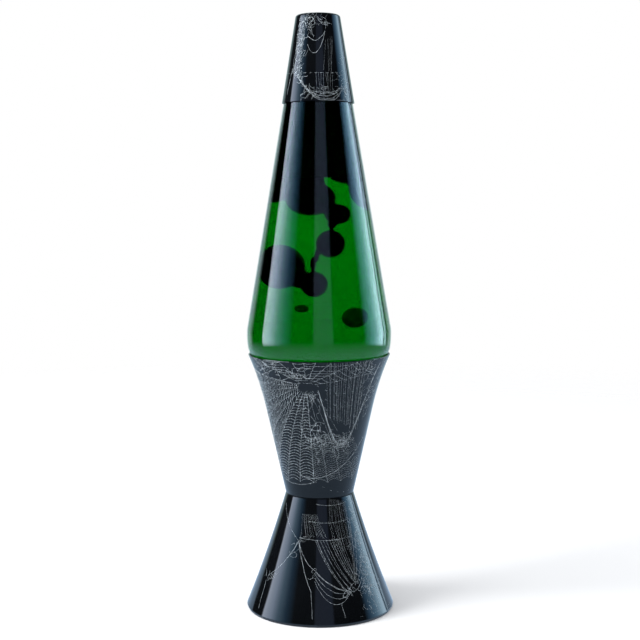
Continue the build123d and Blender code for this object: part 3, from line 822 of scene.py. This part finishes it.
def camera():
    """The camera stands in front of the upper globe and looks slightly down, a little out of level."""
    data = bpy.data.cameras.new("camera")
    data.sensor_width = 36.0
    data.lens = 69.95
    obj = bpy.data.objects.new("camera", data)
    obj.location = (0.0006, -0.7724, 0.2555)
    look_down = math.radians(90 - 5.46)
    out_of_level = math.radians(-0.22)
    turned = Euler((look_down, 0, 0)).to_matrix() @ Euler((0, 0, out_of_level)).to_matrix()
    obj.rotation_euler = turned.to_euler()
    bpy.context.scene.collection.objects.link(obj)
    bpy.context.scene.camera = obj


def world():
    """White behind the lamp and through it, soft white light, and a dark studio in the shine."""
    studio = bpy.data.worlds.new("studio")
    bpy.context.scene.world = studio
    studio.use_nodes = True
    tree = studio.node_tree
    tree.nodes.clear()
    output = add(tree, "ShaderNodeOutputWorld")
    way = add(tree, "ShaderNodeSeparateXYZ", {
        "Vector": add(tree, "ShaderNodeTexCoord").outputs["Generated"],
    })
    # the turn is 0 towards the camera, -180..0 on the left and 0..180 on the right
    towards = add(tree, "ShaderNodeMath", {0: way.outputs["Y"], 1: -1.0}, operation="MULTIPLY")
    turn = add(tree, "ShaderNodeMath", {0: way.outputs["X"], 1: towards.outputs[0]}, operation="ARCTAN2")
    share = spread(tree, turn.outputs[0], 0.0, 1.0, -math.pi, math.pi)

    def stops(colours):
        return [((degrees + 180) / 360, colour) for degrees, colour in colours]

    boxes = ramp(tree, share, stops([
        (-102, (0.0, 0.0, 0.0)), (-100, (0.84, 0.95, 1.16)), (-84, (0.59, 0.74, 0.98)),
        (-72, (0.20, 0.33, 0.46)), (-58, (0.035, 0.09, 0.16)), (-44, (0.0, 0.0, 0.0)),
        (-10, (0.0, 0.0, 0.0)), (-8, (0.045, 0.058, 0.09)),
        (21, (0.04, 0.055, 0.09)), (23, (0.0, 0.0, 0.0)),
        (76, (0.0, 0.0, 0.0)), (84, (0.06, 0.14, 0.24)), (99, (0.20, 0.38, 0.55)),
        (114, (0.50, 0.74, 0.92)), (123, (0.52, 0.70, 0.86)), (124, (0.02, 0.05, 0.08)),
        (127, (0.02, 0.05, 0.08)), (128, (0.34, 0.46, 0.56)), (132, (0.16, 0.23, 0.30)),
        (136, (0.0, 0.0, 0.0)),
    ]))
    height = ramp(tree, spread(tree, way.outputs["Z"], 0.0, 1.0, -0.5, 1.0), [
        (0.19, (0.0, 0.0, 0.0)), (0.22, (1.0, 1.0, 1.0)), (0.61, (0.9, 0.9, 0.9)),
        (0.72, (0.26, 0.26, 0.26)), (0.9, (0.0, 0.0, 0.0)),
    ])
    lamps = add(tree, "ShaderNodeVectorMath", {0: boxes, 1: height}, operation="MULTIPLY")
    sweep = ramp(tree, share, stops([
        (-142, (0.54, 0.74, 0.76)), (-131, (0.0, 0.0, 0.0)),
        (136, (0.0, 0.0, 0.0)), (146, (0.54, 0.74, 0.76)),
    ]))
    boxes_shine = add(tree, "ShaderNodeBackground", {"Color": lamps.outputs[0], "Strength": 8.0})
    sweep_shine = add(tree, "ShaderNodeBackground", {"Color": sweep, "Strength": 1.0})
    shine = add(tree, "ShaderNodeAddShader", {0: boxes_shine.outputs[0], 1: sweep_shine.outputs[0]})
    plain = add(tree, "ShaderNodeBackground", {"Color": (1.0, 1.0, 1.0, 1.0), "Strength": 1.0})
    mixed = add(tree, "ShaderNodeMixShader", {0: mirrored(tree)})
    tree.links.new(plain.outputs[0], mixed.inputs[1])
    tree.links.new(shine.outputs[0], mixed.inputs[2])
    tree.links.new(mixed.outputs[0], output.inputs["Surface"])


def mirrored(tree):
    """1 for what is seen as a reflection, 0 for what is seen directly or through glass."""
    rays = add(tree, "ShaderNodeLightPath")
    only_glossy = add(tree, "ShaderNodeMath", {
        0: rays.outputs["Is Glossy Ray"], 1: rays.outputs["Is Transmission Ray"],
    }, operation="SUBTRACT")
    chosen = add(tree, "ShaderNodeMath", {0: only_glossy.outputs[0], 1: 0.5}, operation="GREATER_THAN")
    return chosen.outputs[0]


def key_light():
    """One large soft light, high on the left, that throws the shadow to the right."""
    data = bpy.data.lights.new("key", "AREA")
    data.shape = "RECTANGLE"
    data.size = 0.9
    data.size_y = 0.9
    data.energy = 34.0
    data.color = (1.0, 0.99, 0.97)
    obj = bpy.data.objects.new("key", data)
    obj.location = (-1.25, -0.45, 0.85)
    obj.rotation_euler = (Vector((0, 0, 0.1)) - obj.location).to_track_quat("-Z", "Y").to_euler()
    obj.visible_glossy = False
    obj.visible_transmission = False
    obj.visible_camera = False
    bpy.context.scene.collection.objects.link(obj)


def floor():
    """A plain white floor that fades into the white behind it, and looks slate blue in the shine."""
    body = bmesh.new()
    bmesh.ops.create_circle(body, cap_ends=True, radius=4.0, segments=96)
    mesh = bpy.data.meshes.new("floor")
    body.to_mesh(mesh)
    body.free()
    obj = bpy.data.objects.new("floor", mesh)
    bpy.context.scene.collection.objects.link(obj)
    material, tree, output = new_material("floor_white")
    length = add(tree, "ShaderNodeVectorMath", {0: place(tree)}, operation="LENGTH")
    fade = spread(tree, length.outputs["Value"], 0.0, 1.0, 0.25, 1.2)
    plain = add(tree, "ShaderNodeBsdfDiffuse", {"Color": (0.79, 0.805, 0.83, 1.0)})
    slate = add(tree, "ShaderNodeEmission", {"Color": (0.50, 0.70, 0.95, 1.0), "Strength": 1.15})
    seen = add(tree, "ShaderNodeMixShader", {0: mirrored(tree)})
    clear = add(tree, "ShaderNodeBsdfTransparent")
    mixed = add(tree, "ShaderNodeMixShader", {0: fade})
    tree.links.new(plain.outputs[0], seen.inputs[1])
    tree.links.new(slate.outputs[0], seen.inputs[2])
    tree.links.new(seen.outputs[0], mixed.inputs[1])
    tree.links.new(clear.outputs[0], mixed.inputs[2])
    tree.links.new(mixed.outputs[0], output.inputs["Surface"])
    mesh.materials.append(material)


# ---- the scene ---------------------------------------------------------------------------------

camera()
world()
key_light()
floor()
bpy.context.scene.view_settings.view_transform = "Standard"

dress_nodes()
blown_glass()
wax()
liquid()
wire_ring()
filament()
upper_cone_web()
lower_cone_web()
cap_web()
